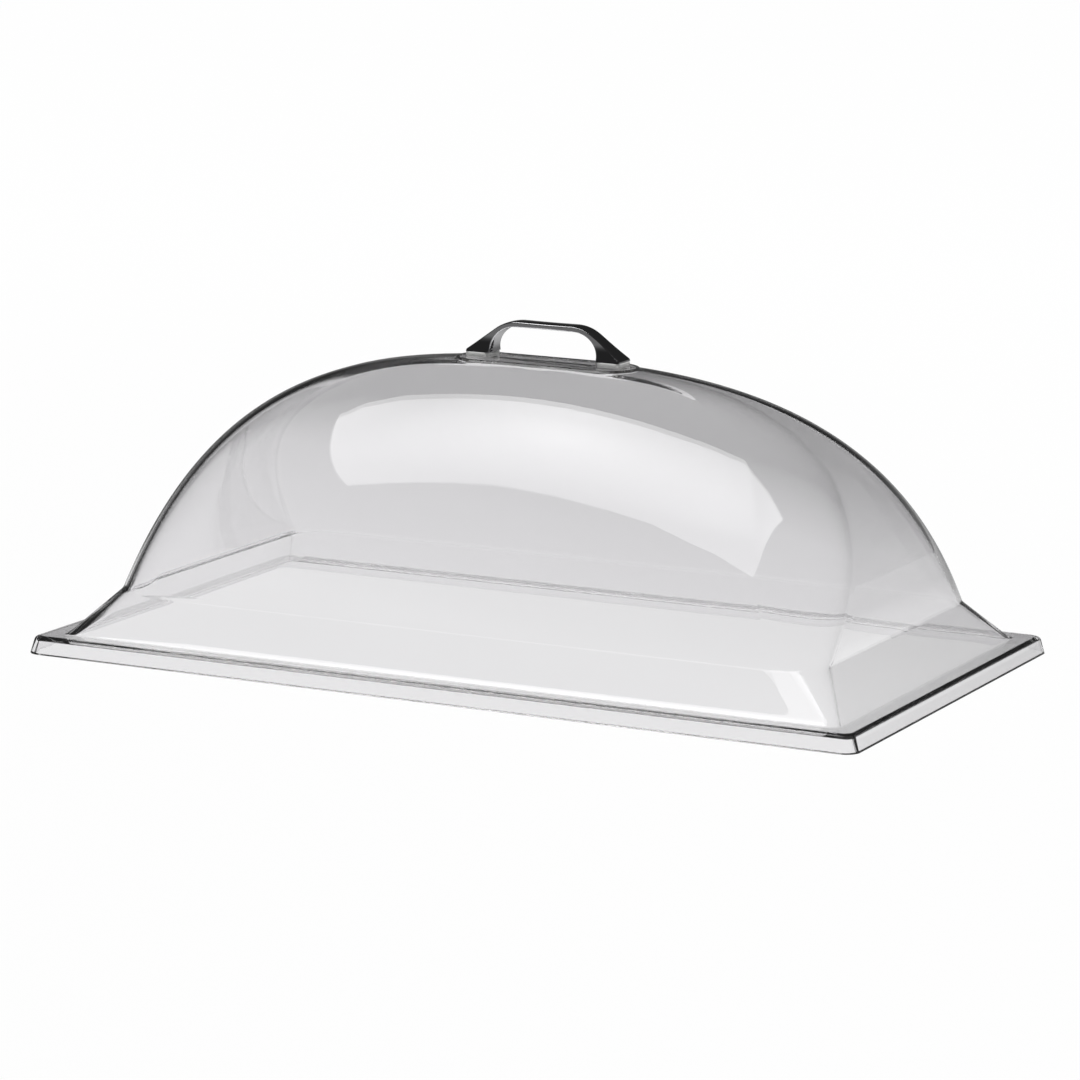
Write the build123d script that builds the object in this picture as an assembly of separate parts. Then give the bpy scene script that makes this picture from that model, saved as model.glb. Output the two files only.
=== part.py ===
from build123d import *
import os
from math import atan2, cos, pi, sin

# Clear display cover for a rectangular food tray, lifted by a bow handle on its ridge.
# Millimetres. +X runs along the cover, -Y is its front and +Z is up.
# The origin is the middle of the cover's foot, on the surface that it stands on.

# Formed sheet: flared lip, flat flange, mitred skirt
COVER_LENGTH = 508.0  # over the foot of the lip
COVER_WIDTH = 305.0
SHEET = 3.0
LIP_HEIGHT = 10.0
LIP_FLARE = 3.0  # how far each side of the lip leans out on its way down
RIM_CORNER_RADIUS = 6.0
FLANGE_WIDTH = 13.5
SKIRT_RUN = 19.0
SKIRT_RISE = 24.0
SKIRT_CORNER_RADIUS = 6.0

# Dome: a wall ring and a shoulder ring pull the curve that runs from the skirt to the crown
DOME_HEIGHT = 169.5  # to the top of the handle's seat
DOME_CORNER_RADIUS = 19.5  # at the dome's foot
DOME_BANDS = 20  # narrow ruled bands that follow the curve
WALL_RISE = 59.0
WALL_DRAFT = 9.5  # of the front and back; the ends rise straight from the skirt
SHOULDER_DROP = 6.5  # below the crown
SHOULDER_REACH_LONG = 131.5  # out from the crown, at its ends
SHOULDER_REACH_SHORT = 16.0  # out from the crown, at its front and back
SHOULDER_CORNER_RADIUS = 6.0
SHOULDER_BOW = 22.0  # how far the shoulder's front and back swell out in the middle
END_FLAT = 1.0  # half of the straight stretch across each end of the crown and seat

# Flat oval seat for the handle, raised on a bevelled step
SEAT_END_MARGIN = 6.5  # beyond the handle
SEAT_SIDE_MARGIN = 8.5  # beyond the handle's feet
SEAT_STEP = 1.5
SEAT_BEVEL = 1.5

# Die-cast bow handle
HANDLE_LENGTH = 97.0
HANDLE_HEIGHT = 19.0
HANDLE_DEPTH = 12.0  # of the bow, front to back
BOW_THICKNESS = 3.4
BOW_CORNER_RADIUS = 24.0
LEG_RUN = 24.0  # from the end of a foot to the bow's corner above it
FOOT_LENGTH = 15.0
FOOT_FLARE = 2.5  # how far a foot spreads to the front and to the back
FOOT_FLARE_HEIGHT = 10.0
TOE_THICKNESS = 1.2
FINGER_GAP_RADIUS = 15.0
HANDLE_EDGE_CHAMFER = 0.8

# Pads under the feet, and screws put in from inside the dome
PAD_THICKNESS = 3.0
PAD_MARGIN = 0.5  # beyond the foot, all round
PAD_CORNER_CHAMFER = 1.5
SCREW_INSET = 10.9  # from the end of the handle
SCREW_DIAMETER = 4.0
SCREW_HOLE_CLEARANCE = 0.5
THREAD_CLEARANCE = 0.1
THREAD_REACH = 5.0  # of the screw in the foot
THREAD_END_GAP = 1.0
SCREW_HEAD_DIAMETER = 8.0
SCREW_HEAD_HEIGHT = 2.6
SCREW_HEAD_CHAMFER = 1.0
WASHER_DIAMETER = 11.0
WASHER_THICKNESS = 1.0

foot_depth = HANDLE_DEPTH + 2 * FOOT_FLARE
finger_gap_length = HANDLE_LENGTH - 2 * FOOT_LENGTH
seat_length = HANDLE_LENGTH + 2 * SEAT_END_MARGIN
seat_width = foot_depth + 2 * SEAT_SIDE_MARGIN
handle_base = DOME_HEIGHT + PAD_THICKNESS
washer_top = DOME_HEIGHT - SHEET
head_top = washer_top - WASHER_THICKNESS
screw_x = HANDLE_LENGTH / 2 - SCREW_INSET
screw_hole = SCREW_DIAMETER + SCREW_HOLE_CLEARANCE


def half_profile(span, wall_draft, shoulder_reach, seat_span):
    """Half outline of the cover on one axis, from the lip's foot to the middle of the seat."""
    rim = span / 2 - LIP_FLARE
    skirt_foot = rim - FLANGE_WIDTH
    dome_foot = skirt_foot - SKIRT_RUN
    skirt_top = LIP_HEIGHT + SKIRT_RISE
    crown = seat_span / 2 + SEAT_BEVEL
    crown_height = DOME_HEIGHT - SEAT_STEP
    return [
        (span / 2, 0),
        (rim, LIP_HEIGHT),
        (skirt_foot, LIP_HEIGHT),
        (dome_foot, skirt_top),
        (dome_foot - wall_draft, skirt_top + WALL_RISE),
        (crown + shoulder_reach, crown_height - SHOULDER_DROP),
        (crown, crown_height),
        (seat_span / 2, DOME_HEIGHT),
        (0, DOME_HEIGHT),
    ]


def sink(profile, depth):
    """The profile moved inwards by depth: each corner goes along the bisector of its two legs."""
    leans = [atan2(end[1] - start[1], start[0] - end[0]) for start, end in zip(profile, profile[1:])]
    foot_x, foot_z = profile[0]
    sunk = [(foot_x - depth / sin(leans[0]), foot_z)]
    for before, after, (x, z) in zip(leans, leans[1:], profile[1:]):
        reach = depth / cos((after - before) / 2)
        bisector = (before + after) / 2
        sunk.append((x - reach * sin(bisector), z - reach * cos(bisector)))
    return sunk


def control_rings(depth):
    """Half length, half width, corner radius, bow and height of each ring, depth below the outside."""
    long_way = half_profile(COVER_LENGTH, 0, SHOULDER_REACH_LONG, seat_length)
    short_way = half_profile(COVER_WIDTH, WALL_DRAFT, SHOULDER_REACH_SHORT, seat_width)
    dome_foot = short_way[3][0]
    crown = short_way[6][0]
    radii_and_bows = [
        (RIM_CORNER_RADIUS + LIP_FLARE, 0),
        (RIM_CORNER_RADIUS, 0),
        (SKIRT_CORNER_RADIUS, 0),
        (DOME_CORNER_RADIUS, 0),
        (dome_foot / 2, 0),
        (SHOULDER_CORNER_RADIUS, SHOULDER_BOW),
        (crown - END_FLAT, 0),
        (seat_width / 2 - END_FLAT, 0),
    ]
    rings = []
    ways = zip(long_way, sink(long_way, depth), sink(short_way, depth), radii_and_bows)
    for outside, end, side, (radius, bow) in ways:
        rings.append((end[0], side[0], radius - (outside[0] - end[0]), bow, (end[1] + side[1]) / 2))
    return rings


def bezier(t, start, wall, shoulder, end):
    s = 1 - t
    return s**3 * start + 3 * s**2 * t * wall + 3 * s * t**2 * shoulder + t**3 * end


def section(ring):
    """A level slice: straight ends, round corners, and a front and a back that swell by the bow."""
    half_length, half_width, radius, bow, height = ring
    side_end = half_length - radius
    for settling in range(8):
        lean = atan2(2 * bow, side_end)
        side_end = half_length - radius * (1 - sin(lean))
    end_side = half_width - bow - radius * cos(lean)
    middle = (pi / 2 - lean) / 2
    corner_middle = (half_length - radius * (1 - cos(middle)), end_side + radius * sin(middle))
    outline = []
    for y in (-1, 1):
        side = (side_end, y * (half_width - bow))
        outline.append(Bezier(side, (0, y * (half_width + bow)), (-side[0], side[1])))
        for x in (-1, 1):
            corner = ((half_length, end_side), corner_middle, (side_end, half_width - bow))
            outline.append(ThreePointArc(*[(x * px, y * py) for px, py in corner]))
    for x in (-half_length, half_length):
        outline.append(Line((x, -end_side), (x, end_side)))
    return Pos(0, 0, height) * make_face(outline)


def cover_form(depth):
    """The solid form that lies depth below the cover's outside."""
    lip_foot, rim, skirt_foot, dome_foot, wall, shoulder, crown, seat = control_rings(depth)
    dome = []
    for band in range(DOME_BANDS + 1):
        dome.append([bezier(band / DOME_BANDS, *sizes) for sizes in zip(dome_foot, wall, shoulder, crown)])
    skirt_middle = [(low + high) / 2 for low, high in zip(skirt_foot, dome_foot)]
    rings = (lip_foot, rim, skirt_foot, skirt_middle, *dome, seat)
    return loft([section(ring) for ring in rings], ruled=True)


def upright_rod(x, diameter, bottom, top):
    on_foot = (Align.CENTER, Align.CENTER, Align.MIN)
    return Pos(x, 0, bottom) * Cylinder(diameter / 2, top - bottom, align=on_foot)


def make_dome_cover():
    """One sheet, formed over a mould: the outer form less the same form one sheet further in."""
    cover = cover_form(0) - cover_form(SHEET)
    for side in (-1, 1):
        cover -= upright_rod(side * screw_x, screw_hole, washer_top, DOME_HEIGHT)
    return cover


def make_handle():
    """Bow with solid wedge feet that widen downwards, cast in one piece, tapped from below."""
    half_length = HANDLE_LENGTH / 2
    half_top = half_length - LEG_RUN
    bow = make_face(
        Polyline(
            (-half_length, 0),
            (-half_length, TOE_THICKNESS),
            (-half_top, HANDLE_HEIGHT),
            (half_top, HANDLE_HEIGHT),
            (half_length, TOE_THICKNESS),
            (half_length, 0),
            close=True,
        )
    )
    bow = fillet(bow.vertices().group_by(Axis.Y)[-1], BOW_CORNER_RADIUS)
    gap = Rectangle(finger_gap_length, HANDLE_HEIGHT - BOW_THICKNESS, align=(Align.CENTER, Align.MIN))
    gap = fillet(gap.vertices().group_by(Axis.Y)[-1], FINGER_GAP_RADIUS)
    end_view = make_face(
        Polyline(
            (-foot_depth / 2, 0),
            (-HANDLE_DEPTH / 2, FOOT_FLARE_HEIGHT),
            (-HANDLE_DEPTH / 2, HANDLE_HEIGHT),
            (HANDLE_DEPTH / 2, HANDLE_HEIGHT),
            (HANDLE_DEPTH / 2, FOOT_FLARE_HEIGHT),
            (foot_depth / 2, 0),
            close=True,
        )
    )
    front_view = extrude(Plane.XZ * (bow - gap), foot_depth, both=True)
    casting = front_view & extrude(Plane.YZ * end_view, HANDLE_LENGTH, both=True)
    base_edges = casting.edges().group_by(Axis.Z)[0]
    casting = chamfer(casting.edges() - base_edges, HANDLE_EDGE_CHAMFER)
    for side in (-1, 1):
        casting -= upright_rod(side * screw_x, SCREW_DIAMETER, 0, THREAD_REACH + THREAD_END_GAP)
    return Pos(0, 0, handle_base) * casting


def make_pad(side):
    """Moulded pad between a foot and the seat."""
    outline = Rectangle(FOOT_LENGTH + 2 * PAD_MARGIN, foot_depth + 2 * PAD_MARGIN)
    outline = chamfer(outline.vertices(), PAD_CORNER_CHAMFER)
    foot_middle = (HANDLE_LENGTH - FOOT_LENGTH) / 2
    pad = extrude(Pos(side * foot_middle, 0, DOME_HEIGHT) * outline, PAD_THICKNESS)
    return pad - upright_rod(side * screw_x, screw_hole, DOME_HEIGHT, handle_base)


def make_washer(side):
    ring = Circle(WASHER_DIAMETER / 2) - Circle(screw_hole / 2)
    return extrude(Pos(side * screw_x, 0, head_top) * ring, WASHER_THICKNESS)


def make_screw(side):
    """Pan-head screw, head down, up through washer, sheet and pad into the foot."""
    head = upright_rod(0, SCREW_HEAD_DIAMETER, -SCREW_HEAD_HEIGHT, 0)
    head = chamfer(head.edges().group_by(Axis.Z)[0], SCREW_HEAD_CHAMFER)
    shank = upright_rod(0, SCREW_DIAMETER - THREAD_CLEARANCE, 0, handle_base + THREAD_REACH - head_top)
    return Pos(side * screw_x, 0, head_top) * (head + shank)


nodes = {"dome_cover": make_dome_cover(), "handle": make_handle()}
for side_name, side in (("left", -1), ("right", 1)):
    nodes[f"foot_pad_{side_name}"] = make_pad(side)
    nodes[f"screw_washer_{side_name}"] = make_washer(side)
    nodes[f"handle_screw_{side_name}"] = make_screw(side)

os.makedirs("parts", exist_ok=True)
for node_name, shape in nodes.items():
    export_step(shape, f"parts/{node_name}.step")
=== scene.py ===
from math import atan2, cos, hypot, pi, radians, sin

import bmesh
import bpy
from mathutils import Matrix, Vector


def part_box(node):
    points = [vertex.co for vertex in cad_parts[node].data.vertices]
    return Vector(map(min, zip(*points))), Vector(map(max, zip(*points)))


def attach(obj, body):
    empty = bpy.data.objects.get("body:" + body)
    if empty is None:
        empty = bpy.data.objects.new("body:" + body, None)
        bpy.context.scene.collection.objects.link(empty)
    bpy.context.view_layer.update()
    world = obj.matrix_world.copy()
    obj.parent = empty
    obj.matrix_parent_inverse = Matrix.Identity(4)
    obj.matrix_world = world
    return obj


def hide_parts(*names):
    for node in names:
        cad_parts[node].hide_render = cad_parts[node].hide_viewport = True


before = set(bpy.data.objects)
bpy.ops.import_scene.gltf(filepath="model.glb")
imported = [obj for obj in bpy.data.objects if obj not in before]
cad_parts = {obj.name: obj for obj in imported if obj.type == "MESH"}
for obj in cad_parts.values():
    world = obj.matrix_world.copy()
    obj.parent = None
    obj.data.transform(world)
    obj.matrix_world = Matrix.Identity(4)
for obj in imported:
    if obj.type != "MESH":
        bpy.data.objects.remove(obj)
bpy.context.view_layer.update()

# Dome cover: one clear plastic sheet, drawn hot over a mould, then trimmed along the foot of its lip.
# Its mould gives it a flared lip, a flat flange, a mitred skirt and a loaf-shaped dome with a flat oval seat.
# It stands loose on the rim of a tray, and only the handle is fixed to it.
cover_low, cover_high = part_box("dome_cover")
COVER_LENGTH = cover_high.x - cover_low.x
COVER_WIDTH = cover_high.y - cover_low.y
DOME_HEIGHT = cover_high.z
SHEET = 0.003
LIP_HEIGHT = 0.010
LIP_FLARE = 0.003
FLANGE_WIDTH = 0.0135
SKIRT_RUN = 0.019
SKIRT_RISE = 0.024
WALL_RISE = 0.059
WALL_DRAFT = 0.0095
SHOULDER_DROP = 0.0065
SHOULDER_REACH_LONG = 0.1315
SHOULDER_REACH_SHORT = 0.016
SHOULDER_BOW = 0.022
SEAT_LENGTH = 0.110
SEAT_WIDTH = 0.034
SEAT_STEP = 0.0015
SEAT_BEVEL = 0.0015
SEAT_BORDER = 0.003
END_FLAT = 0.001
RIM_CORNER = 0.006
SKIRT_CORNER = 0.006
DOME_CORNER = 0.0195
WALL_CORNER = 0.078
SHOULDER_CORNER = 0.011
DOME_ROWS = 56
BEND_STEPS = 8
HOLD = 1.6
TANGENT_STEP = 0.001
TRIM_ROUND = 0.0002
LEAN_PASSES = 8
SCREW_X = 0.0376
SCREW_HOLE = 0.0045


class Wire:
    """One socket of a node tree. Sums on it become Math nodes, and node() adds any other node."""

    def __init__(self, tree, socket=None):
        self.tree = tree
        self.socket = socket

    def node(self, kind, settings=None, inputs=None, output=0):
        made = self.tree.nodes.new(kind)
        for name, value in (settings or {}).items():
            if name == "stops":
                ramp = made.color_ramp.elements
                while len(ramp) < len(value):
                    ramp.new(1.0)
                for stop, (place, shade) in zip(ramp, value):
                    stop.position = place
                    stop.color = (shade, shade, shade, 1.0)
            else:
                setattr(made, name, value)
        for name, value in (inputs or {}).items():
            if isinstance(value, Wire):
                self.tree.links.new(value.socket, made.inputs[name])
            else:
                made.inputs[name].default_value = value
        return Wire(self.tree, made.outputs[output] if made.outputs else None)

    def __getitem__(self, output):
        return Wire(self.tree, self.socket.node.outputs[output])

    def math(self, operation, *others):
        return self.node("ShaderNodeMath", {"operation": operation}, dict(enumerate((self, *others))))

    def __add__(self, other):
        return self.math("ADD", other)

    __radd__ = __add__

    def __sub__(self, other):
        return self.math("SUBTRACT", other)

    def __rsub__(self, other):
        return self.node("ShaderNodeMath", {"operation": "SUBTRACT"}, {0: other, 1: self})

    def __mul__(self, other):
        return self.math("MULTIPLY", other)

    __rmul__ = __mul__

    def __truediv__(self, other):
        return self.math("DIVIDE", other)

    def __floordiv__(self, other):
        return self.math("DIVIDE", other).math("FLOOR")


def new_finish(name):
    """An empty material, and a wire to build its nodes from."""
    finish = bpy.data.materials.new(name)
    finish.use_nodes = True
    finish.node_tree.nodes.clear()
    return finish, Wire(finish.node_tree)


clear_sheet, bench = new_finish("clear_sheet")
place = bench.node("ShaderNodeTexCoord", output="Object")
wipe_field = bench.node("ShaderNodeMapping", {}, {"Vector": place, "Scale": (9.0, 9.0, 26.0)})
wipe_marks = bench.node("ShaderNodeTexNoise", {}, {"Vector": wipe_field, "Detail": 4.0, "Scale": 1.0})
haze = bench.node(
    "ShaderNodeMapRange", {}, {"Value": wipe_marks, "From Min": 0.5, "From Max": 0.8, "To Max": 0.008}
)
flow = bench.node("ShaderNodeTexNoise", {}, {"Vector": place, "Scale": 14.0, "Detail": 1.0})
waves = bench.node("ShaderNodeBump", {}, {"Height": flow, "Strength": 0.03, "Distance": 0.001})
tone = bench.node(
    "ShaderNodeMix",
    {"data_type": "RGBA"},
    {0: wipe_marks, 6: (0.915, 0.910, 0.920, 1.0), 7: (0.890, 0.885, 0.895, 1.0)},
    output=2,
)
sheet_gloss = bench.node(
    "ShaderNodeBsdfPrincipled",
    {},
    {"Base Color": tone, "Roughness": haze, "IOR": 1.586, "Transmission Weight": 1.0, "Normal": waves},
)
light_through = bench.node("ShaderNodeBsdfTransparent", {}, {"Color": (0.93, 0.93, 0.935, 1.0)})
light_path = bench.node("ShaderNodeLightPath")
trapped = bench.node(
    "ShaderNodeMapRange", {}, {"Value": light_path["Ray Depth"], "From Min": 3.0, "From Max": 8.0}
)
let_out = bench.node("ShaderNodeBsdfTransparent")
sheet_solid = bench.node("ShaderNodeMixShader", {}, {0: trapped, 1: sheet_gloss, 2: let_out})
shadow_ray = light_path["Is Shadow Ray"]
sheet_look = bench.node("ShaderNodeMixShader", {}, {0: shadow_ray, 1: sheet_solid, 2: light_through})
bench.node("ShaderNodeOutputMaterial", {}, {"Surface": sheet_look})


def half_profile(span, wall_draft, shoulder_reach, seat_span):
    """Half outline of the cover on one axis, from the lip's foot to the middle of the seat."""
    rim = span / 2 - LIP_FLARE
    skirt_foot = rim - FLANGE_WIDTH
    dome_foot = skirt_foot - SKIRT_RUN
    skirt_top = LIP_HEIGHT + SKIRT_RISE
    crown = seat_span / 2 + SEAT_BEVEL
    crown_height = DOME_HEIGHT - SEAT_STEP
    return [
        (span / 2, 0),
        (rim, LIP_HEIGHT),
        (skirt_foot, LIP_HEIGHT),
        (dome_foot, skirt_top),
        (dome_foot - wall_draft, skirt_top + WALL_RISE),
        (crown + shoulder_reach, crown_height - SHOULDER_DROP),
        (crown, crown_height),
        (seat_span / 2, DOME_HEIGHT),
        (0, DOME_HEIGHT),
    ]


def sink(profile, depth):
    """The profile moved inwards by depth: each corner goes along the bisector of its two legs."""
    leans = [atan2(end[1] - start[1], start[0] - end[0]) for start, end in zip(profile, profile[1:])]
    foot_x, foot_z = profile[0]
    sunk = [(foot_x - depth / sin(leans[0]), foot_z)]
    for before, after, (x, z) in zip(leans, leans[1:], profile[1:]):
        reach = depth / cos((after - before) / 2)
        bisector = (before + after) / 2
        sunk.append((x - reach * sin(bisector), z - reach * cos(bisector)))
    return sunk


def control_rings(depth):
    """Half length, half width, height, corner radius and bow of each ring, depth below the outside."""
    long_way = half_profile(COVER_LENGTH, 0, SHOULDER_REACH_LONG, SEAT_LENGTH)
    short_way = half_profile(COVER_WIDTH, WALL_DRAFT, SHOULDER_REACH_SHORT, SEAT_WIDTH)
    corners = [RIM_CORNER + LIP_FLARE, RIM_CORNER, SKIRT_CORNER, DOME_CORNER, WALL_CORNER]
    corners += [SHOULDER_CORNER, short_way[6][0] - END_FLAT, short_way[7][0] - END_FLAT]
    bows = [0, 0, 0, 0, 0, SHOULDER_BOW, 0, 0]
    rings = []
    ways = zip(long_way, sink(long_way, depth), sink(short_way, depth), corners, bows)
    for outside, end, side, corner, bow in ways:
        rings.append((end[0], side[0], (end[1] + side[1]) / 2, corner - (outside[0] - end[0]), bow))
    half_length, half_width, height, corner, bow = rings[-1]
    rings.append((half_length - SEAT_BORDER, half_width - SEAT_BORDER, height, corner - SEAT_BORDER, bow))
    return rings


def bezier(t, controls):
    """Ring at t on the Bezier curve of these control rings."""
    while len(controls) > 1:
        pairs = zip(controls, controls[1:])
        controls = [tuple(a + (b - a) * t for a, b in zip(*pair)) for pair in pairs]
    return controls[0]


def apart(ring, other):
    """Distance between two rings, seen from the side."""
    return hypot(other[0] - ring[0], other[2] - ring[2])


def bend(start, corner, end, tail=None):
    """Rings that turn a bend: they leave start towards corner, and reach end as if from tail."""
    controls = [start, bezier(2 / 3, [start, corner]), bezier(2 / 3, [end, tail or corner]), end]
    return [bezier(step / BEND_STEPS, controls) for step in range(BEND_STEPS + 1)]


def bend_at(before, corner, after, run, run_out=None):
    """A bend from run away on one leg to run_out on the next, with a ring to hold each leg straight."""
    run_out = run_out or run

    def leg(other, away):
        return bezier(away / apart(corner, other), [corner, other])

    rounded = bend(leg(before, run), corner, leg(after, run_out))
    return [leg(before, HOLD * run), *rounded, leg(after, HOLD * run_out)]


def wall_rings(depth, rim_run, flange_run, skirt_run, dome_run, seat_run):
    """Rings of one face of the sheet, from just above the lip's foot to the flat of the seat."""
    foot, rim, skirt_foot, dome_foot, wall, shoulder, crown, seat, flat = control_rings(depth)
    rows = bend_at(foot, rim, skirt_foot, rim_run)
    rows += bend_at(rim, skirt_foot, dome_foot, flange_run, skirt_run)
    dome = [dome_foot, wall, shoulder, crown]
    first = dome_run / (3 * apart(dome_foot, wall))
    dome_start = bezier(first, dome)
    dome_next = bezier(first + TANGENT_STEP, dome)
    tail = bezier(-apart(dome_start, dome_foot) / apart(dome_start, dome_next), [dome_start, dome_next])
    skirt_hold = bezier(HOLD * dome_run / apart(skirt_foot, dome_foot), [dome_foot, skirt_foot])
    skirt_end = bezier(dome_run / apart(skirt_foot, dome_foot), [dome_foot, skirt_foot])
    rows += [skirt_hold, *bend(skirt_end, dome_foot, dome_start, tail)]
    for row in range(1, DOME_ROWS):
        rows.append(bezier(first + (1 - first) * row / DOME_ROWS, dome))
    rows += bend_at(shoulder, crown, seat, seat_run)
    rows += bend_at(crown, seat, flat, seat_run)
    return [*rows, flat]


outer_rings = wall_rings(
    0, rim_run=0.0026, flange_run=0.0007, skirt_run=0.0045, dome_run=0.0012, seat_run=0.0006
)
inner_rings = wall_rings(
    SHEET, rim_run=0.0004, flange_run=0.0021, skirt_run=0.0059, dome_run=0.0019, seat_run=0.0006
)
outer_foot, outer_rim = control_rings(0)[:2]
inner_foot, inner_rim = control_rings(SHEET)[:2]
trim_rings = bend_at(outer_rim, outer_foot, inner_foot, TRIM_ROUND)
trim_rings += bend_at(outer_foot, inner_foot, inner_rim, TRIM_ROUND)
cover_rings = [*reversed(outer_rings), *trim_rings, *inner_rings]


def new_tree(name, inputs):
    """A tree of geometry nodes with these named inputs, and the wire of its first one."""
    tree = bpy.data.node_groups.new(name, "GeometryNodeTree")
    for title, kind in inputs:
        tree.interface.new_socket(title, in_out="INPUT", socket_type="NodeSocket" + kind)
    tree.interface.new_socket("Piece", in_out="OUTPUT", socket_type="NodeSocketGeometry")
    return tree, Wire(tree).node("NodeGroupInput")


CRISP_ANGLE = radians(38)


def finish_tree(piece, finish):
    """Ends a tree: round forms shade smooth, edges stay crisp, and the piece gets its finish."""
    smooth = piece.node("GeometryNodeSetShadeSmooth", {}, {"Geometry": piece})
    fold = piece.node("GeometryNodeInputMeshEdgeAngle")
    crisp = piece.node("FunctionNodeCompare", {"operation": "GREATER_THAN"}, {0: fold, 1: CRISP_ANGLE})
    edges = {"Geometry": smooth, "Selection": crisp, "Shade Smooth": False}
    creased = piece.node("GeometryNodeSetShadeSmooth", {"domain": "EDGE"}, edges)
    realized = piece.node("GeometryNodeRealizeInstances", {}, {"Geometry": creased})
    done = piece.node("GeometryNodeSetMaterial", {}, {"Geometry": realized, "Material": finish})
    piece.node("NodeGroupOutput", {}, {"Piece": done})


# The ring tree lays columns of points round each ring: a corner, then the side that follows it.
ring_form, sizes = new_tree(
    "ring_form",
    [
        ("Rings", "Geometry"),
        ("Steps in a Corner", "Int"),
        ("Steps on a Side", "Int"),
        ("Middle", "Float"),
        ("Finish", "Material"),
    ],
)
corner_steps = sizes["Steps in a Corner"]
side_steps = sizes["Steps on a Side"]
steps = corner_steps + side_steps
row_count = sizes.node(
    "GeometryNodeAttributeDomainSize", {"component": "MESH"}, {"Geometry": sizes["Rings"]}, "Point Count"
)
tube = sizes.node(
    "GeometryNodeMeshCylinder", {"fill_type": "NGON"}, {"Vertices": steps * 4, "Side Segments": row_count - 1}
)
index = sizes.node("GeometryNodeInputIndex")
row = index // (steps * 4)


def of_ring(name=None):
    """What the rings carry under this name, or their three lengths, read at this row."""
    if name is None:
        kind, value = "FLOAT_VECTOR", sizes.node("GeometryNodeInputPosition")
    else:
        kind = "FLOAT"
        value = sizes.node("GeometryNodeInputNamedAttribute", {"data_type": kind}, {"Name": name})
    sockets = {"Geometry": sizes["Rings"], "Value": value, "Index": row}
    return sizes.node("GeometryNodeSampleIndex", {"data_type": kind}, sockets)


ring = sizes.node("ShaderNodeSeparateXYZ", {}, {0: of_ring()})
corner = of_ring("corner")
bow = of_ring("bow")
lean = of_ring("lean")
column = index - row * steps * 4
quarter = column // steps
on_end = quarter.math("MODULO", 2.0)
on_side = 1 - on_end
step = column - quarter * steps
turn = (step / corner_steps).math("MINIMUM", 1.0)
along = 1 - (step - corner_steps).math("MAXIMUM", 0.0) / side_steps * 2
angle = (pi / 2 - lean) * (turn + on_end * (1 - turn * 2))
diagonal = (quarter + 0.5) * (pi / 2)
half_x = (ring["X"] - corner + corner * angle.math("COSINE")) * (1 - on_side * (1 - along))
end_y = ring["Y"] - bow - corner * lean.math("COSINE") + corner * angle.math("SINE")
half_y = end_y * (1 - on_end * (1 - along)) + on_side * bow * (1 - along * along)
x = diagonal.math("COSINE").math("SIGN") * half_x + sizes["Middle"]
y = diagonal.math("SINE").math("SIGN") * half_y
spot = sizes.node("ShaderNodeCombineXYZ", {}, {0: x, 1: y, 2: ring["Z"]})
skin = sizes.node("GeometryNodeSetPosition", {}, {"Geometry": tube, "Position": spot})
closed = sizes.node("GeometryNodeMergeByDistance", {}, {"Geometry": skin, "Distance": 1e-6})
finish_tree(closed, sizes["Finish"])


def cut_away(solid, tool, spot):
    """The solid less a tool that is held at this spot."""
    placed = solid.node("GeometryNodeTransform", {}, {"Geometry": tool, "Translation": spot})
    both = {"Mesh 1": solid, "Mesh 2": placed}
    return solid.node("GeometryNodeMeshBoolean", {"operation": "DIFFERENCE"}, both)


drilled, sizes = new_tree(
    "drilled",
    [
        ("Solid", "Geometry"),
        ("Hole Diameter", "Float"),
        ("Hole Reach", "Float"),
        ("Hole Top", "Float"),
        ("Finish", "Material"),
    ],
)
DRILL_LENGTH = 0.5
DRILL_OVERRUN = 0.01
drill = sizes.node(
    "GeometryNodeMeshCylinder",
    {},
    {"Vertices": 48, "Radius": sizes["Hole Diameter"] / 2, "Depth": DRILL_LENGTH},
)
solid = sizes["Solid"]
for way in (-1, 1):
    hole = {0: sizes["Hole Reach"] * way, 2: sizes["Hole Top"] - DRILL_LENGTH / 2}
    solid = cut_away(solid, drill, sizes.node("ShaderNodeCombineXYZ", {}, hole))
finish_tree(solid, sizes["Finish"])


def add_tree(piece, tree, settings):
    """Puts a tree on a piece, with its inputs set by title."""
    modifier = piece.modifiers.new(tree.name, "NODES")
    modifier.node_group = tree
    for socket in tree.interface.items_tree:
        if socket.in_out == "INPUT" and socket.name in settings:
            modifier[socket.identifier] = settings[socket.name]


def keep_as_mesh(piece):
    """Replaces a piece's mesh by what its modifiers make of it, and removes them."""
    plain = bpy.data.meshes.new_from_object(piece.evaluated_get(bpy.context.evaluated_depsgraph_get()))
    piece.modifiers.clear()
    piece.data = plain


def new_piece(name, data):
    """A new object in the scene, for this mesh or lamp."""
    piece = bpy.data.objects.new(name, data)
    bpy.context.scene.collection.objects.link(piece)
    return piece


def form_of_rings(name, rings, trees, settings):
    """A new piece whose skin runs through the rings, then goes through the other trees."""
    points = bpy.data.meshes.new(name)
    points.from_pydata([ring[:3] for ring in rings], [], [])
    leans = []
    for half_length, _, _, corner, bow in rings:
        side_end = half_length - corner
        for settling in range(LEAN_PASSES):
            lean = atan2(2 * bow, side_end)
            side_end = half_length - corner * (1 - sin(lean))
        leans.append(lean)
    carried = {"corner": [ring[3] for ring in rings], "bow": [ring[4] for ring in rings], "lean": leans}
    for title, values in carried.items():
        points.attributes.new(title, "FLOAT", "POINT").data.foreach_set("value", values)
    piece = new_piece(name, points)
    for tree in (ring_form, *trees):
        add_tree(piece, tree, settings)
    keep_as_mesh(piece)
    return piece


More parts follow.
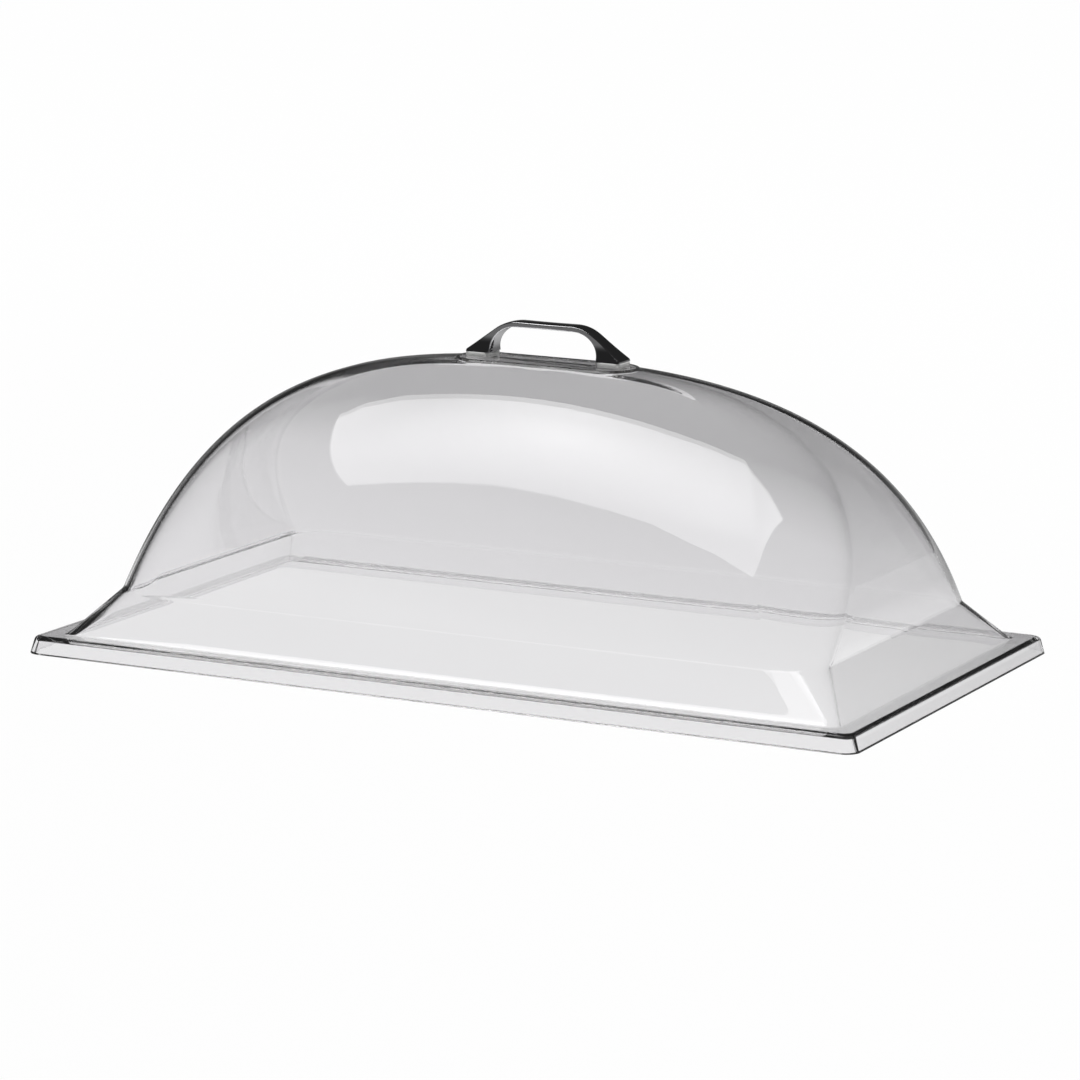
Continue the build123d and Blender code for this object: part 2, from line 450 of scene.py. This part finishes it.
dome = form_of_rings(
    "clear_dome",
    cover_rings,
    [drilled],
    {
        "Steps in a Corner": 18,
        "Steps on a Side": 16,
        "Hole Diameter": SCREW_HOLE,
        "Hole Reach": SCREW_X,
        "Hole Top": DOME_HEIGHT + DRILL_OVERRUN,
        "Finish": clear_sheet,
    },
)
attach(dome, "root")
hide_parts("dome_cover")

# Foot pads: soft translucent plastic mouldings, one under each foot of the handle.
# They keep the metal off the clear sheet and are clamped by the screws.
pad_plastic, bench = new_finish("pad_plastic")
place = bench.node("ShaderNodeTexCoord", output="Object")
mottle = bench.node("ShaderNodeTexNoise", {}, {"Vector": place, "Scale": 260.0, "Detail": 3.0})
tone = bench.node(
    "ShaderNodeMix",
    {"data_type": "RGBA"},
    {0: mottle, 6: (0.92, 0.92, 0.91, 1.0), 7: (0.86, 0.86, 0.84, 1.0)},
    output=2,
)
grain = bench.node("ShaderNodeBump", {}, {"Height": mottle, "Strength": 0.15, "Distance": 0.0004})
pad_look = bench.node(
    "ShaderNodeBsdfPrincipled", {}, {"Base Color": tone, "Roughness": 0.35 + mottle * 0.2, "Normal": grain}
)
bench.node("ShaderNodeOutputMaterial", {}, {"Surface": pad_look})


def plate_rings(half_length, half_width, corner, bottom, top, edge):
    """Rings of a plate with rounded edges, from the middle of its top to the middle of its underside."""

    def ring(inward, height):
        return (half_length - inward, half_width - inward, height, corner - inward, 0)

    upper, lower = ring(0, top), ring(0, bottom)
    top_flat, bottom_flat = ring(3 * edge, top), ring(3 * edge, bottom)
    edges = bend_at(top_flat, upper, lower, edge) + bend_at(upper, lower, bottom_flat, edge)
    return [top_flat, *edges, bottom_flat]


PAD_CORNER = 0.0045
PAD_EDGE = 0.0009

for side in ("left", "right"):
    pad_low, pad_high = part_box(f"foot_pad_{side}")
    pad_size = (pad_high - pad_low) / 2
    pad = form_of_rings(
        f"moulded_pad_{side}",
        plate_rings(pad_size.x, pad_size.y, PAD_CORNER, pad_low.z, pad_high.z, PAD_EDGE),
        [drilled],
        {
            "Steps in a Corner": 8,
            "Steps on a Side": 4,
            "Middle": (pad_low.x + pad_high.x) / 2,
            "Hole Diameter": SCREW_HOLE,
            "Hole Reach": SCREW_X,
            "Hole Top": pad_high.z + DRILL_OVERRUN,
            "Finish": pad_plastic,
        },
    )
    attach(pad, "root")
    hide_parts(f"foot_pad_{side}")

# Handle: a die-cast bow with wedge feet, crowned along its top, polished and chrome plated.
# It stands on the pads along the ridge, tapped from below for its two screws.
handle_low, handle_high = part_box("handle")
HANDLE_LENGTH = handle_high.x - handle_low.x
HANDLE_BASE = handle_low.z
HANDLE_HEIGHT = handle_high.z - handle_low.z
HANDLE_DEPTH = 0.012
BOW_THICKNESS = 0.0034
BOW_CORNER = 0.024
BOW_CROWN = 0.0005
LEG_RUN = 0.024
FOOT_LENGTH = 0.015
FOOT_FLARE = 0.0025
FOOT_FLARE_HEIGHT = 0.012
TOE_THICKNESS = 0.0012
TOE_ROUND = 0.0012
FINGER_GAP_CORNER = 0.015
THREAD_HOLE = 0.004
THREAD_HOLE_DEPTH = 0.006
HANDLE_STATIONS = 56
STATION_SPREAD = 1.7
EDGE_ROUND = 0.0009
EDGE_STEPS = 5
FACE_SHARES = (0.04, 0.2, 0.4, 0.6, 0.8, 0.96)

chrome_plate, bench = new_finish("chrome_plate")
place = bench.node("ShaderNodeTexCoord", output="Object")
smudges = bench.node("ShaderNodeTexNoise", {}, {"Vector": place, "Scale": 90.0, "Detail": 5.0})
ripple = bench.node("ShaderNodeTexNoise", {}, {"Vector": place, "Scale": 160.0, "Detail": 1.0})
polish = bench.node("ShaderNodeBump", {}, {"Height": ripple, "Strength": 0.04, "Distance": 0.0005})
tone = bench.node(
    "ShaderNodeMix",
    {"data_type": "RGBA"},
    {0: smudges, 6: (0.80, 0.80, 0.81, 1.0), 7: (0.70, 0.70, 0.72, 1.0)},
    output=2,
)
wear = bench.node(
    "ShaderNodeMapRange",
    {},
    {"Value": smudges, "From Min": 0.4, "From Max": 0.75, "To Min": 0.05, "To Max": 0.13},
)
chrome_look = bench.node(
    "ShaderNodeBsdfPrincipled", {}, {"Base Color": tone, "Metallic": 1.0, "Roughness": wear, "Normal": polish}
)
bench.node("ShaderNodeOutputMaterial", {}, {"Surface": chrome_look})


def arc(middle, radius, start, end, count=16):
    """Points on a circle, from one angle to another."""
    turns = [start + (end - start) * step / count for step in range(count + 1)]
    return [(middle[0] + radius * cos(a), middle[1] + radius * sin(a)) for a in turns]


def points_along(path, shares):
    """Points at these shares of the path's length."""
    lengths = [0.0]
    for start, end in zip(path, path[1:]):
        lengths.append(lengths[-1] + hypot(end[0] - start[0], end[1] - start[1]))
    points = []
    leg = 0
    for share in shares:
        at = lengths[-1] * share
        while leg < len(path) - 2 and at > lengths[leg + 1]:
            leg += 1
        part = (at - lengths[leg]) / (lengths[leg + 1] - lengths[leg])
        points.append(tuple(a + (b - a) * part for a, b in zip(path[leg], path[leg + 1])))
    return points


half_handle = HANDLE_LENGTH / 2
half_gap = half_handle - FOOT_LENGTH
gap_height = HANDLE_HEIGHT - BOW_THICKNESS
leg_lean = atan2(HANDLE_HEIGHT - TOE_THICKNESS, LEG_RUN)
bow_flat = half_handle - LEG_RUN - BOW_CORNER * sin(leg_lean / 2) / cos(leg_lean / 2)
toe_turn = pi / 2 - leg_lean
toe_start = TOE_THICKNESS - TOE_ROUND * sin(toe_turn / 2) / cos(toe_turn / 2)
bow_path = [(half_handle, 0)]
bow_path += arc((half_handle - TOE_ROUND, toe_start), TOE_ROUND, 0, toe_turn)
bow_path += arc((bow_flat, HANDLE_HEIGHT - BOW_CORNER), BOW_CORNER, toe_turn, pi / 2)
bow_path.append((0, HANDLE_HEIGHT))
gap_path = [(half_gap, 0)]
gap_path += arc((half_gap - FINGER_GAP_CORNER, gap_height - FINGER_GAP_CORNER), FINGER_GAP_CORNER, 0, pi / 2)
gap_path.append((0, gap_height))
shares = [(station / HANDLE_STATIONS) ** STATION_SPREAD for station in range(HANDLE_STATIONS + 1)]
half_stations = list(zip(points_along(bow_path, shares), points_along(gap_path, shares)))
stations = [((-bow[0], bow[1]), (-gap[0], gap[1])) for bow, gap in half_stations[:-1]]
stations += reversed(half_stations)


def section_round(bow, gap):
    """Points round the casting, in the section that holds this point of the bow and this one of the gap."""
    thickness = hypot(bow[0] - gap[0], bow[1] - gap[1])
    reach = thickness / 2 - EDGE_ROUND
    corners = ((1, 1), (-1, 1), (-1, -1), (1, -1))
    flats = []
    for quarter, ((out, back), (next_out, next_back)) in enumerate(zip(corners, corners[1:] + corners[:1])):
        for step in range(EDGE_STEPS + 1):
            turn = (quarter + step / EDGE_STEPS) * pi / 2
            flats.append((out * reach + EDGE_ROUND * cos(turn), back, EDGE_ROUND * sin(turn)))
        turn = (quarter + 1) * pi / 2
        for share in FACE_SHARES:
            across = (out + (next_out - out) * share) * reach + EDGE_ROUND * cos(turn)
            flats.append((across, back + (next_back - back) * share, EDGE_ROUND * sin(turn)))
    points = []
    for across, back, rounding in flats:
        share = 0.5 + across / thickness
        height = gap[1] + (bow[1] - gap[1]) * share
        spread = max(0.0, 1 - height / FOOT_FLARE_HEIGHT)
        half_depth = HANDLE_DEPTH / 2 + FOOT_FLARE * spread * spread
        y = back * (half_depth - EDGE_ROUND) + rounding
        share -= BOW_CROWN / thickness * share * (y / half_depth) ** 2
        x, z = (a + (b - a) * share for a, b in zip(gap, bow))
        points.append((x, y, z + HANDLE_BASE))
    return points


casting = bmesh.new()
loops = [[casting.verts.new(point) for point in section_round(bow, gap)] for bow, gap in stations]
for here, there in zip(loops, loops[1:]):
    for a, b, c, d in zip(here, here[1:] + here[:1], there[1:] + there[:1], there):
        casting.faces.new((a, b, c, d))
casting.faces.new(loops[0])
casting.faces.new(loops[-1])
bmesh.ops.recalc_face_normals(casting, faces=casting.faces)
handle_data = bpy.data.meshes.new("bow_handle")
casting.to_mesh(handle_data)
casting.free()
handle = new_piece("bow_handle", handle_data)
add_tree(
    handle,
    drilled,
    {
        "Hole Diameter": THREAD_HOLE,
        "Hole Reach": SCREW_X,
        "Hole Top": HANDLE_BASE + THREAD_HOLE_DEPTH,
        "Finish": chrome_plate,
    },
)
keep_as_mesh(handle)
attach(handle, "root")
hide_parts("handle")

# Washers: plain stainless steel rings, stamped flat, against the inside of the dome.
# They spread the pull of the screw heads over the clear sheet.
WASHER_EDGE = 0.00015

fastener_steel, bench = new_finish("fastener_steel")
place = bench.node("ShaderNodeTexCoord", output="Object")
turned = bench.node("ShaderNodeMapping", {}, {"Vector": place, "Scale": (200.0, 200.0, 2400.0)})
brushing = bench.node("ShaderNodeTexNoise", {}, {"Vector": turned, "Scale": 1.0, "Detail": 4.0})
tone = bench.node(
    "ShaderNodeMix",
    {"data_type": "RGBA"},
    {0: brushing, 6: (0.68, 0.68, 0.68, 1.0), 7: (0.54, 0.54, 0.55, 1.0)},
    output=2,
)
scratches = bench.node("ShaderNodeBump", {}, {"Height": brushing, "Strength": 0.1, "Distance": 0.0001})
steel_look = bench.node(
    "ShaderNodeBsdfPrincipled",
    {},
    {"Base Color": tone, "Metallic": 1.0, "Roughness": 0.22 + brushing * 0.2, "Normal": scratches},
)
bench.node("ShaderNodeOutputMaterial", {}, {"Surface": steel_look})

for side in ("left", "right"):
    washer_low, washer_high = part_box(f"screw_washer_{side}")
    washer_radius = (washer_high.y - washer_low.y) / 2
    washer = form_of_rings(
        f"flat_washer_{side}",
        plate_rings(washer_radius, washer_radius, washer_radius, washer_low.z, washer_high.z, WASHER_EDGE),
        [drilled],
        {
            "Steps in a Corner": 16,
            "Steps on a Side": 1,
            "Middle": (washer_low.x + washer_high.x) / 2,
            "Hole Diameter": SCREW_HOLE,
            "Hole Reach": SCREW_X,
            "Hole Top": washer_high.z + DRILL_OVERRUN,
            "Finish": fastener_steel,
        },
    )
    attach(washer, "root")
    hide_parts(f"screw_washer_{side}")

# Screws: stainless pan-head machine screws with a cross recess, put in from inside the dome.
# Each goes up through its washer, the sheet and the pad into the thread in a foot of the handle.
SHANK_RADIUS = 0.00195
ROOT_RADIUS = 0.00165
PITCH = 0.0007
HEAD_HEIGHT = 0.0026
HEAD_SIDE = 0.0011
HEAD_FLAT = 0.0024
HEAD_BREAK = 0.0001
HEAD_STEPS = 8
POINT_CHAMFER = 0.0006
RECESS_SPAN = 0.0042
RECESS_WIDTH = 0.0010
RECESS_DEPTH = 0.0016

cross_recess, sizes = new_tree(
    "cross_recess",
    [
        ("Solid", "Geometry"),
        ("Middle", "Float"),
        ("Head End", "Float"),
        ("Recess Span", "Float"),
        ("Recess Width", "Float"),
        ("Recess Depth", "Float"),
        ("Finish", "Material"),
    ],
)
solid = sizes["Solid"]
recess_spot = sizes.node("ShaderNodeCombineXYZ", {}, {0: sizes["Middle"], 2: sizes["Head End"]})
for first, second in ((0, 1), (1, 0)):
    sides = {first: sizes["Recess Span"], second: sizes["Recess Width"], 2: sizes["Recess Depth"] * 2}
    slot_size = sizes.node("ShaderNodeCombineXYZ", {}, sides)
    blade = sizes.node("GeometryNodeMeshCube", {}, {"Size": slot_size})
    solid = cut_away(solid, blade, recess_spot)
finish_tree(solid, sizes["Finish"])

for side in ("left", "right"):
    screw_low, screw_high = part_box(f"handle_screw_{side}")
    head_radius = (screw_high.y - screw_low.y) / 2
    head_top = screw_low.z + HEAD_HEIGHT
    turns = int((screw_high.z - head_top) / PITCH)
    outline = [(SHANK_RADIUS - POINT_CHAMFER, screw_high.z), (ROOT_RADIUS, screw_high.z - PITCH / 2)]
    for thread in range(1, turns):
        outline.append((SHANK_RADIUS, screw_high.z - thread * PITCH))
        outline.append((ROOT_RADIUS, screw_high.z - (thread + 0.5) * PITCH))
    outline += [(ROOT_RADIUS, head_top), (head_radius - HEAD_BREAK, head_top)]
    outline.append((head_radius, head_top - HEAD_BREAK))
    for step in range(HEAD_STEPS + 1):
        turn = step / HEAD_STEPS * pi / 2
        radius = HEAD_FLAT + (head_radius - HEAD_FLAT) * cos(turn)
        outline.append((radius, screw_low.z + (HEAD_HEIGHT - HEAD_SIDE) * (1 - sin(turn))))
    screw = form_of_rings(
        f"pan_screw_{side}",
        [(radius, radius, height, radius, 0) for radius, height in outline],
        [cross_recess],
        {
            "Steps in a Corner": 10,
            "Steps on a Side": 1,
            "Middle": (screw_low.x + screw_high.x) / 2,
            "Head End": screw_low.z,
            "Recess Span": RECESS_SPAN,
            "Recess Width": RECESS_WIDTH,
            "Recess Depth": RECESS_DEPTH,
            "Finish": fastener_steel,
        },
    )
    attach(screw, "root")
    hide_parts(f"handle_screw_{side}")

# Studio: a wide white sweep, white to the eye, that still takes the cover's soft shadow. What the clear sheet
# shows of it darkens with distance, and light caught inside the sheet sees none of it. Above it is a dark room,
# with a pale low wall behind, seen through both sides of the dome, and a large soft light over the front left.
FLOOR_REACH = 30.0
FLOOR_DROP = 0.0002
FLOOR_CORNERS = ((-1, -1), (1, -1), (1, 1), (-1, 1))
SELF_WHITE = 0.92
BEHIND_COVER = (0.4, 1.0, 0.0)
WALL_SIDE = (-0.3, 0.95, 0.0)
FACES_INSIDE = 1.0
FACES_THROUGH_BOTH = 3.5

white_sweep, bench = new_finish("white_sweep")
path = bench.node("ShaderNodeLightPath")
through = path["Is Transmission Ray"]
mirrored = path["Is Glossy Ray"] * (1 - through)
seen = path["Is Camera Ray"].math("MAXIMUM", path["Is Glossy Ray"]).math("MAXIMUM", through)
paper = bench.node("ShaderNodeBsdfDiffuse", {}, {"Color": (0.95, 0.95, 0.95, 1.0)})
glow = bench.node("ShaderNodeEmission", {}, {"Color": (1.0, 1.0, 1.0, 1.0), "Strength": 1.0})
sweep_white = bench.node("ShaderNodeMixShader", {}, {0: seen * SELF_WHITE, 1: paper, 2: glow})
place = bench.node("ShaderNodeTexCoord", output="Object")
reach = bench.node("ShaderNodeVectorMath", {"operation": "LENGTH"}, {0: place}, "Value")
behind = bench.node(
    "ShaderNodeVectorMath", {"operation": "DOT_PRODUCT"}, {0: place, 1: BEHIND_COVER}, "Value"
)
beyond = bench.node(
    "ShaderNodeValToRGB", {"stops": [(0.02, 0.0), (0.42, 0.15), (0.7, 0.48)]}, {"Fac": behind}
)
far = bench.node(
    "ShaderNodeValToRGB", {"stops": [(0.25, 0.0), (0.36, 0.55), (0.75, 0.85)]}, {"Fac": reach}
)
gloom = bench.node("ShaderNodeEmission", {}, {"Color": (0.02, 0.02, 0.02, 1.0), "Strength": 1.0})
caught = path["Transmission Depth"].math("COMPARE", FACES_INSIDE, 0.1)
dimmed = mirrored * far.math("MAXIMUM", caught) + through * beyond
sweep_look = bench.node("ShaderNodeMixShader", {}, {0: dimmed, 1: sweep_white, 2: gloom})
bench.node("ShaderNodeOutputMaterial", {}, {"Surface": sweep_look})

floor_data = bpy.data.meshes.new("floor")
floor_spots = [(x * FLOOR_REACH, y * FLOOR_REACH, -FLOOR_DROP) for x, y in FLOOR_CORNERS]
floor_data.from_pydata(floor_spots, [], [(0, 1, 2, 3)])
floor_data.materials.append(white_sweep)
floor = new_piece("floor", floor_data)

world = bpy.data.worlds.new("studio")
world.use_nodes = True
world.node_tree.nodes.clear()
bpy.context.scene.world = world
bench = Wire(world.node_tree)
direction = bench.node("ShaderNodeTexCoord", output="Generated")
height = bench.node("ShaderNodeSeparateXYZ", {}, {0: direction})["Z"]
facing_wall = bench.node(
    "ShaderNodeVectorMath", {"operation": "DOT_PRODUCT"}, {0: direction, 1: WALL_SIDE}, "Value"
)
room = bench.node(
    "ShaderNodeValToRGB",
    {"stops": [(0.0, 0.17), (0.06, 0.13), (0.13, 0.05), (0.22, 0.02), (0.45, 0.02), (1.0, 0.03)]},
    {"Fac": height},
)
low_wall = bench.node(
    "ShaderNodeValToRGB", {"stops": [(0.0, 0.95), (0.17, 0.9), (0.28, 0.12), (1.0, 0.03)]}, {"Fac": height}
)
to_wall = bench.node(
    "ShaderNodeMapRange", {}, {"Value": facing_wall, "From Min": 0.84, "From Max": 0.94, "To Min": 0.05}
)
path = bench.node("ShaderNodeLightPath")
through_both = path["Transmission Depth"].math("GREATER_THAN", FACES_THROUGH_BOTH)
around = bench.node(
    "ShaderNodeMix", {"data_type": "RGBA"}, {0: through_both, 6: room, 7: low_wall * to_wall}, output=2
)
to_eye = bench.node(
    "ShaderNodeMix",
    {"data_type": "RGBA"},
    {0: path["Is Camera Ray"], 6: around, 7: (1.0, 1.0, 1.0, 1.0)},
    output=2,
)
sky = bench.node("ShaderNodeBackground", {}, {"Color": to_eye, "Strength": 1.0})
bench.node("ShaderNodeOutputWorld", {}, {"Surface": sky})

SOFT_LIGHT_HEIGHT = 3.1
SOFT_LIGHT_LAMP = (-1.2, -0.7, SOFT_LIGHT_HEIGHT)
SOFT_LIGHT_EDGE = (
    (-1.9, -0.04), (-2.03, -0.1), (-2.1, -0.25), (-2.03, -1.48), (-1.55, -1.48),
    (-1.12, -1.6), (-0.97, -2.1), (0.7, -0.36), (0.15, -0.31), (-0.5, -0.39),
)

soft_cloth, bench = new_finish("soft_cloth")
place = bench.node("ShaderNodeTexCoord", output="Object")
cloth_y = bench.node("ShaderNodeSeparateXYZ", {}, {0: place})["Y"]
to_back = bench.node(
    "ShaderNodeMapRange",
    {},
    {"Value": cloth_y, "From Min": -1.6, "From Max": -0.1, "To Min": 1.9, "To Max": 3.7},
)
from_lamp = bench.node(
    "ShaderNodeVectorMath", {"operation": "DISTANCE"}, {0: place, 1: SOFT_LIGHT_LAMP}, "Value"
)
to_lamp = bench.node(
    "ShaderNodeMapRange", {}, {"Value": from_lamp, "From Max": 0.8, "To Min": 1.4, "To Max": 0.68}
)
cloth_glow = bench.node("ShaderNodeEmission", {}, {"Color": to_back * to_lamp, "Strength": 1.0})
bench.node("ShaderNodeOutputMaterial", {}, {"Surface": cloth_glow})

soft_data = bpy.data.meshes.new("soft_light")
soft_spots = [(x, y, SOFT_LIGHT_HEIGHT) for x, y in SOFT_LIGHT_EDGE]
soft_data.from_pydata(soft_spots, [], [range(len(soft_spots))])
soft_data.materials.append(soft_cloth)
soft_light = new_piece("soft_light", soft_data)
soft_light.visible_camera = False

fill_light = bpy.data.lights.new("fill_light", "SUN")
fill_light.energy = 2.85
fill_light.angle = radians(70)
fill_holder = new_piece("fill_light", fill_light)
fill_holder.location = (0.0, 0.0, 3.0)
fill_holder.visible_camera = False
fill_holder.visible_glossy = False
fill_holder.visible_transmission = False

# Camera: a long lens, set back to the right of the cover's front and a little above it.
# It is held a degree off level.
AZIMUTH = radians(25.380)
ELEVATION = radians(10.645)
ROLL = radians(1.070)
DISTANCE = 2.66586
AIM = Vector((-0.002645, 0.0, 0.065578))

backward = Vector((sin(AZIMUTH) * cos(ELEVATION), -cos(AZIMUTH) * cos(ELEVATION), sin(ELEVATION)))
level = Vector((cos(AZIMUTH), sin(AZIMUTH), 0.0))
upward = backward.cross(level)
right = level * cos(ROLL) + upward * sin(ROLL)
up = upward * cos(ROLL) - level * sin(ROLL)
turned_camera = Matrix((right, up, backward)).transposed().to_4x4()
lens = bpy.data.cameras.new("camera")
lens.sensor_width = 36.0
lens.lens = 155.016
lens.clip_end = 100.0
camera = bpy.data.objects.new("camera", lens)
camera.matrix_world = Matrix.Translation(AIM + backward * DISTANCE) @ turned_camera
bpy.context.scene.collection.objects.link(camera)
bpy.context.scene.camera = camera
bpy.context.scene.view_settings.view_transform = "Standard"
